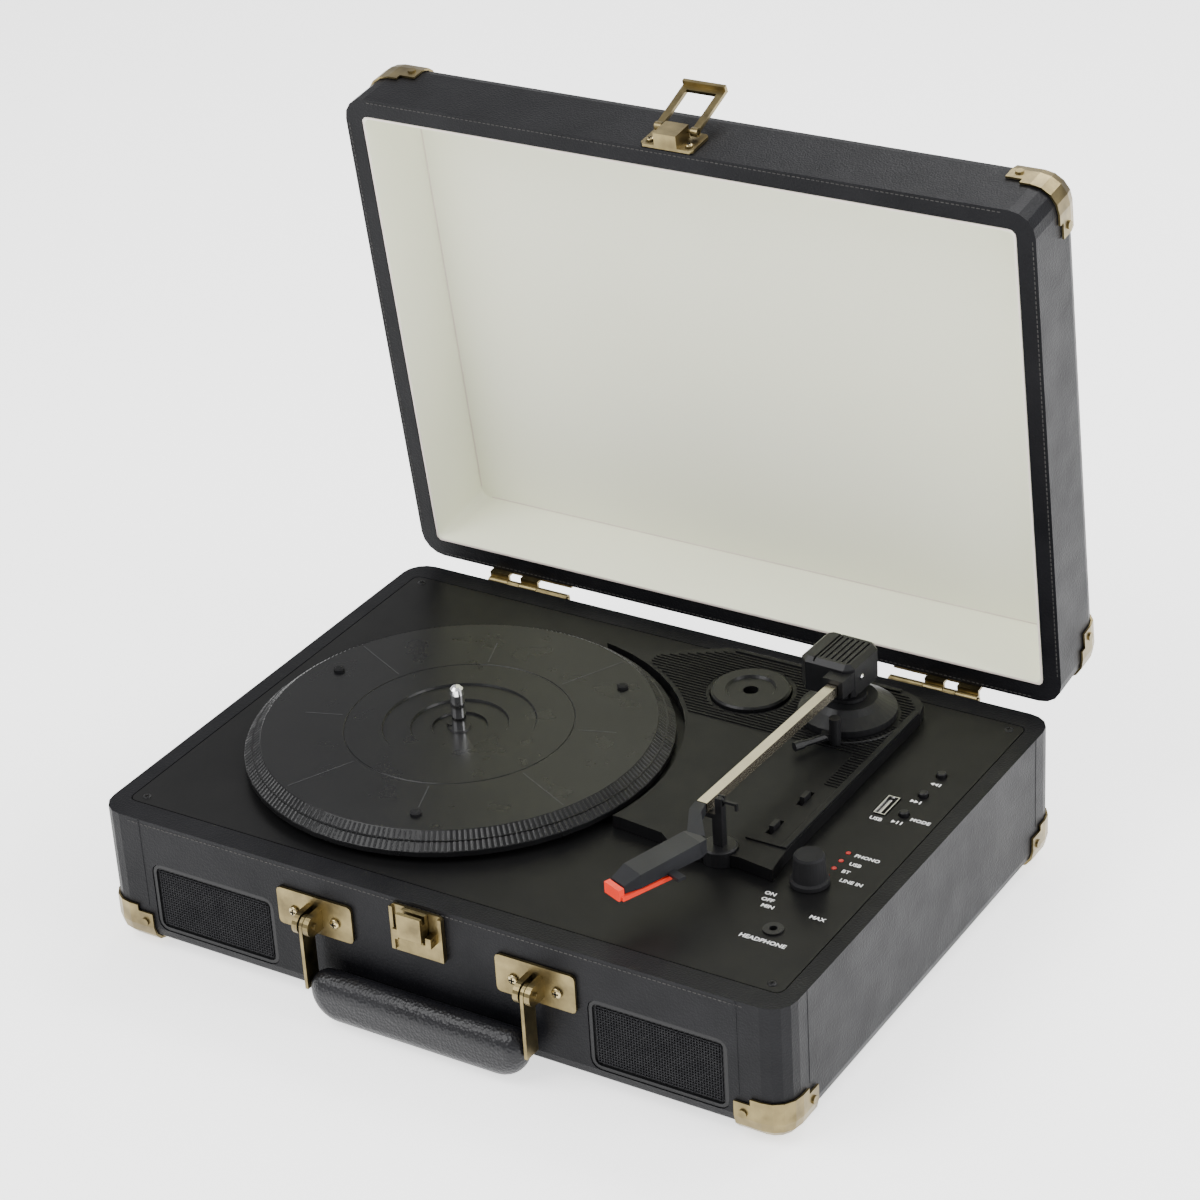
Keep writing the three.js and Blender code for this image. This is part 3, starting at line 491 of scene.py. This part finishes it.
# Chassis top
def chassis_ribs():
    """Raised ribs along X on the chassis, clear of the platter, adaptor and arm base."""
    cx, cy = PLATTER
    (ax0, ay0, _), (ax1, ay1, _) = corners("adaptor_45")
    discs = [(cx, cy, 106), ((ax0 + ax1) / 2, (ay0 + ay1) / 2, 21.5), (PIVOT[0], PIVOT[1], 24.6)]
    pitch, wide, height = 2.2, 0.9, 0.5
    bm = bmesh.new()
    y = 46.5
    while y < 110:
        left = -12 if y < 92 else -12 + (y - 92) * 1.67
        right = 121 if y < 100 else 121 - (y - 100) * 0.9
        spans = [(left, right)]
        if y < 52:
            spans = [(114, 121)]
        for dx, dy, r in discs:
            h = r * r - (y - dy) ** 2
            if h <= 0:
                continue
            a, b = dx - math.sqrt(h), dx + math.sqrt(h)
            spans = [part for s in spans for part in ((s[0], min(s[1], a)), (max(s[0], b), s[1]))
                     if part[1] - part[0] > 2]
        for x0, x1 in spans:
            add_box(bm, x0, x1, y, y + wide, CHASSIS_TOP - 0.1, CHASSIS_TOP + height)
        y += pitch
    y = 22
    while y < 46:
        add_box(bm, 114, 121, y, y + wide, CHASSIS_TOP - 0.1, CHASSIS_TOP + height)
        y += pitch
    add_piece("chassis_ribs", bm, "chassis", "base")


def chassis_border():
    """A smooth border along the chassis' right and back, and the crescent by the arm base."""
    bm = bmesh.new()
    add_box(bm, 121.2, 124.2, -30, 98, CHASSIS_TOP - 0.2, CHASSIS_TOP + 0.9)
    add_box(bm, 20, 108, 110.4, 112.8, CHASSIS_TOP - 0.2, CHASSIS_TOP + 0.9)
    add_piece("chassis_border", bm, "chassis", "base", bevel=0.3)
    bm = bmesh.new()
    steps, tail = 28, 0.25
    rows = []
    for i in range(steps + 1):
        t = i / steps
        a = math.radians(-78 + 88 * t)
        half = 1.5 * math.sin(math.pi * (tail + (1 - 2 * tail) * t)) - 0.6
        r = 27.2
        row = []
        for dr, z in ((-half, 0), (-half * 0.6, 0.9), (half * 0.6, 0.9), (half, 0)):
            x, y = PIVOT[0] + (r + dr) * math.cos(a), PIVOT[1] + (r + dr) * math.sin(a)
            row.append(bm.verts.new((x, y, CHASSIS_TOP - 0.1 + z)))
        rows.append(row)
    for p, q in zip(rows, rows[1:]):
        for i in range(4):
            bm.faces.new((p[i], p[(i + 1) % 4], q[(i + 1) % 4], q[i]))
    bm.faces.new(rows[0])
    bm.faces.new(rows[-1][::-1])
    add_piece("arm_base_crescent", bm, "plastic", "base", smooth=True)


# Tonearm
def arm_details():
    (_, _, z0), (x1, _, _) = corners("arm_housing")
    bm = bmesh.new()
    add_dome(bm, 1.5, 0.7, (x1 - 0.2, PIVOT[1] + 1.5, z0 + 8), (1, 0, 0))
    add_piece("arm_pivot_pin_end", bm, "chrome", "tonearm", smooth=True)


# Deck lettering
def label(name, text, x, y, size, yaw=0.0):
    curve = bpy.data.curves.new(name, "FONT")
    curve.body = text
    curve.size = size * MM
    curve.align_x = "CENTER"
    curve.align_y = "CENTER"
    curve.resolution_u = 2
    curve.extrude = 0.02 * MM
    curve.offset = 0.06 * MM
    shape = bpy.data.objects.new(name, curve)
    bpy.context.scene.collection.objects.link(shape)
    bpy.context.view_layer.update()
    mesh = bpy.data.meshes.new_from_object(shape.evaluated_get(bpy.context.evaluated_depsgraph_get()))
    bpy.data.objects.remove(shape)
    place = Matrix.Translation((x * MM, y * MM, (DECK + 0.05) * MM))
    mesh.transform(place @ Matrix.Rotation(yaw, 4, "Z"))
    mesh.materials.clear()
    mesh.materials.append(LOOK["ink"])
    obj = bpy.data.objects.new("label_" + name, mesh)
    bpy.context.scene.collection.objects.link(obj)
    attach(obj, "base")


def icon(name, x, y, shapes):
    """A transport mark: triangles (+1 right, -1 left) and bars (0) in a row."""
    bm = bmesh.new()
    z0, z1, half, step = DECK + 0.03, DECK + 0.08, 1.2, 1.9
    for i, kind in enumerate(shapes):
        cx = x + (i - (len(shapes) - 1) / 2) * step
        if kind == 0:
            add_box(bm, cx - 0.3, cx + 0.3, y - half, y + half, z0, z1)
            continue
        low = [bm.verts.new((cx - kind * 0.9, y - half, z)) for z in (z0, z1)]
        high = [bm.verts.new((cx - kind * 0.9, y + half, z)) for z in (z0, z1)]
        tip = [bm.verts.new((cx + kind * 0.9, y, z)) for z in (z0, z1)]
        bm.faces.new((low[0], tip[0], high[0]))
        bm.faces.new((low[1], high[1], tip[1]))
        for a, b in ((low, tip), (tip, high), (high, low)):
            bm.faces.new((a[0], b[0], b[1], a[1]))
    add_piece("icon_" + name, bm, "ink", "base")


def lettering():
    label("headphone", "HEADPHONE", 143.9, -87.3, 3.7)
    for word, x, y in (("ON", 129.9, -54.8), ("OFF", 131, -59.4), ("MIN", 133.4, -63.9)):
        label(word.lower(), word, x, y, 3.4)
    label("max", "MAX", 156.7, -62.5, 3.4)
    for word, y in (("PHONO", -11.7), ("USB", -18.5), ("BT", -25), ("LINE IN", -31.5)):
        label("led_" + word.replace(" ", "_").lower(), word, 148.4 + len(word) * 1.2, y - 0.6, 3.3)
    label("usb", "USB", 142.7, 18.2, 3.5)
    label("mode", "MODE", 161.5, 24.4, 3.4)
    icon("previous", 154, 55.2, (-1, -1, 0))
    icon("next", 152.6, 38.4, (1, 1, 0))
    icon("play_pause", 152.7, 19.6, (1, 0, 0))


# Stage
def floor():
    bm = bmesh.new()
    half = 6000
    bm.faces.new([bm.verts.new((x, y, FLOOR_Z)) for x, y in
                  ((-half, -half), (half, -half), (half, half), (-half, half))])
    bmesh.ops.scale(bm, vec=(MM, MM, MM), verts=bm.verts)
    mesh = bpy.data.meshes.new("floor")
    bm.to_mesh(mesh)
    bm.free()
    mesh.materials.append(surface("floor_white", (0.95, 0.95, 0.95), 0.9, glow=1.6))
    obj = bpy.data.objects.new("floor", mesh)
    bpy.context.scene.collection.objects.link(obj)


def lamp(name, at, size, power, aim=(0, 0, 100)):
    data = bpy.data.lights.new(name, "AREA")
    data.shape = "RECTANGLE"
    data.size, data.size_y = size
    data.energy = power
    obj = bpy.data.objects.new(name, data)
    obj.location = Vector(at) * MM
    obj.rotation_euler = (Vector(aim) - Vector(at)).to_track_quat("-Z", "Y").to_euler()
    bpy.context.scene.collection.objects.link(obj)


def lights():
    world = bpy.data.worlds.new("studio")
    world.use_nodes = True
    world.node_tree.nodes["Background"].inputs["Color"].default_value = (1, 1, 1, 1)
    world.node_tree.nodes["Background"].inputs["Strength"].default_value = 0.8
    bpy.context.scene.world = world
    lamp("key", (-700, -900, 1500), (1.2, 1.2), 30)
    lamp("right_strip", (1500, 100, 700), (0.6, 1.6), 26)
    lamp("back_top", (200, 1100, 1500), (1.6, 0.6), 26)


def camera():
    place = Vector((750.3, -1130.1, 895.0)) * MM
    right = Vector((0.85333, 0.51856, -0.05404))
    up = -Vector((0.20983, -0.43648, -0.87490))
    back = -Vector((-0.47728, 0.73524, -0.48127))
    data = bpy.data.cameras.new("camera")
    data.sensor_width = 36
    data.lens = 104.13
    data.clip_start, data.clip_end = 0.05, 50
    obj = bpy.data.objects.new("camera", data)
    pose = Matrix((right, up, back)).transposed().to_4x4()
    obj.matrix_world = Matrix.Translation(place) @ pose
    bpy.context.scene.collection.objects.link(obj)
    bpy.context.scene.camera = obj


camera()
paint_frame()
stitching()
case_seams()
lining_edge()
lining_seams()
for side_name in ("left", "right"):
    grille_weave(side_name)
grip()
screws()
platter_details()
chassis_ribs()
chassis_border()
arm_details()
lettering()
floor()
lights()
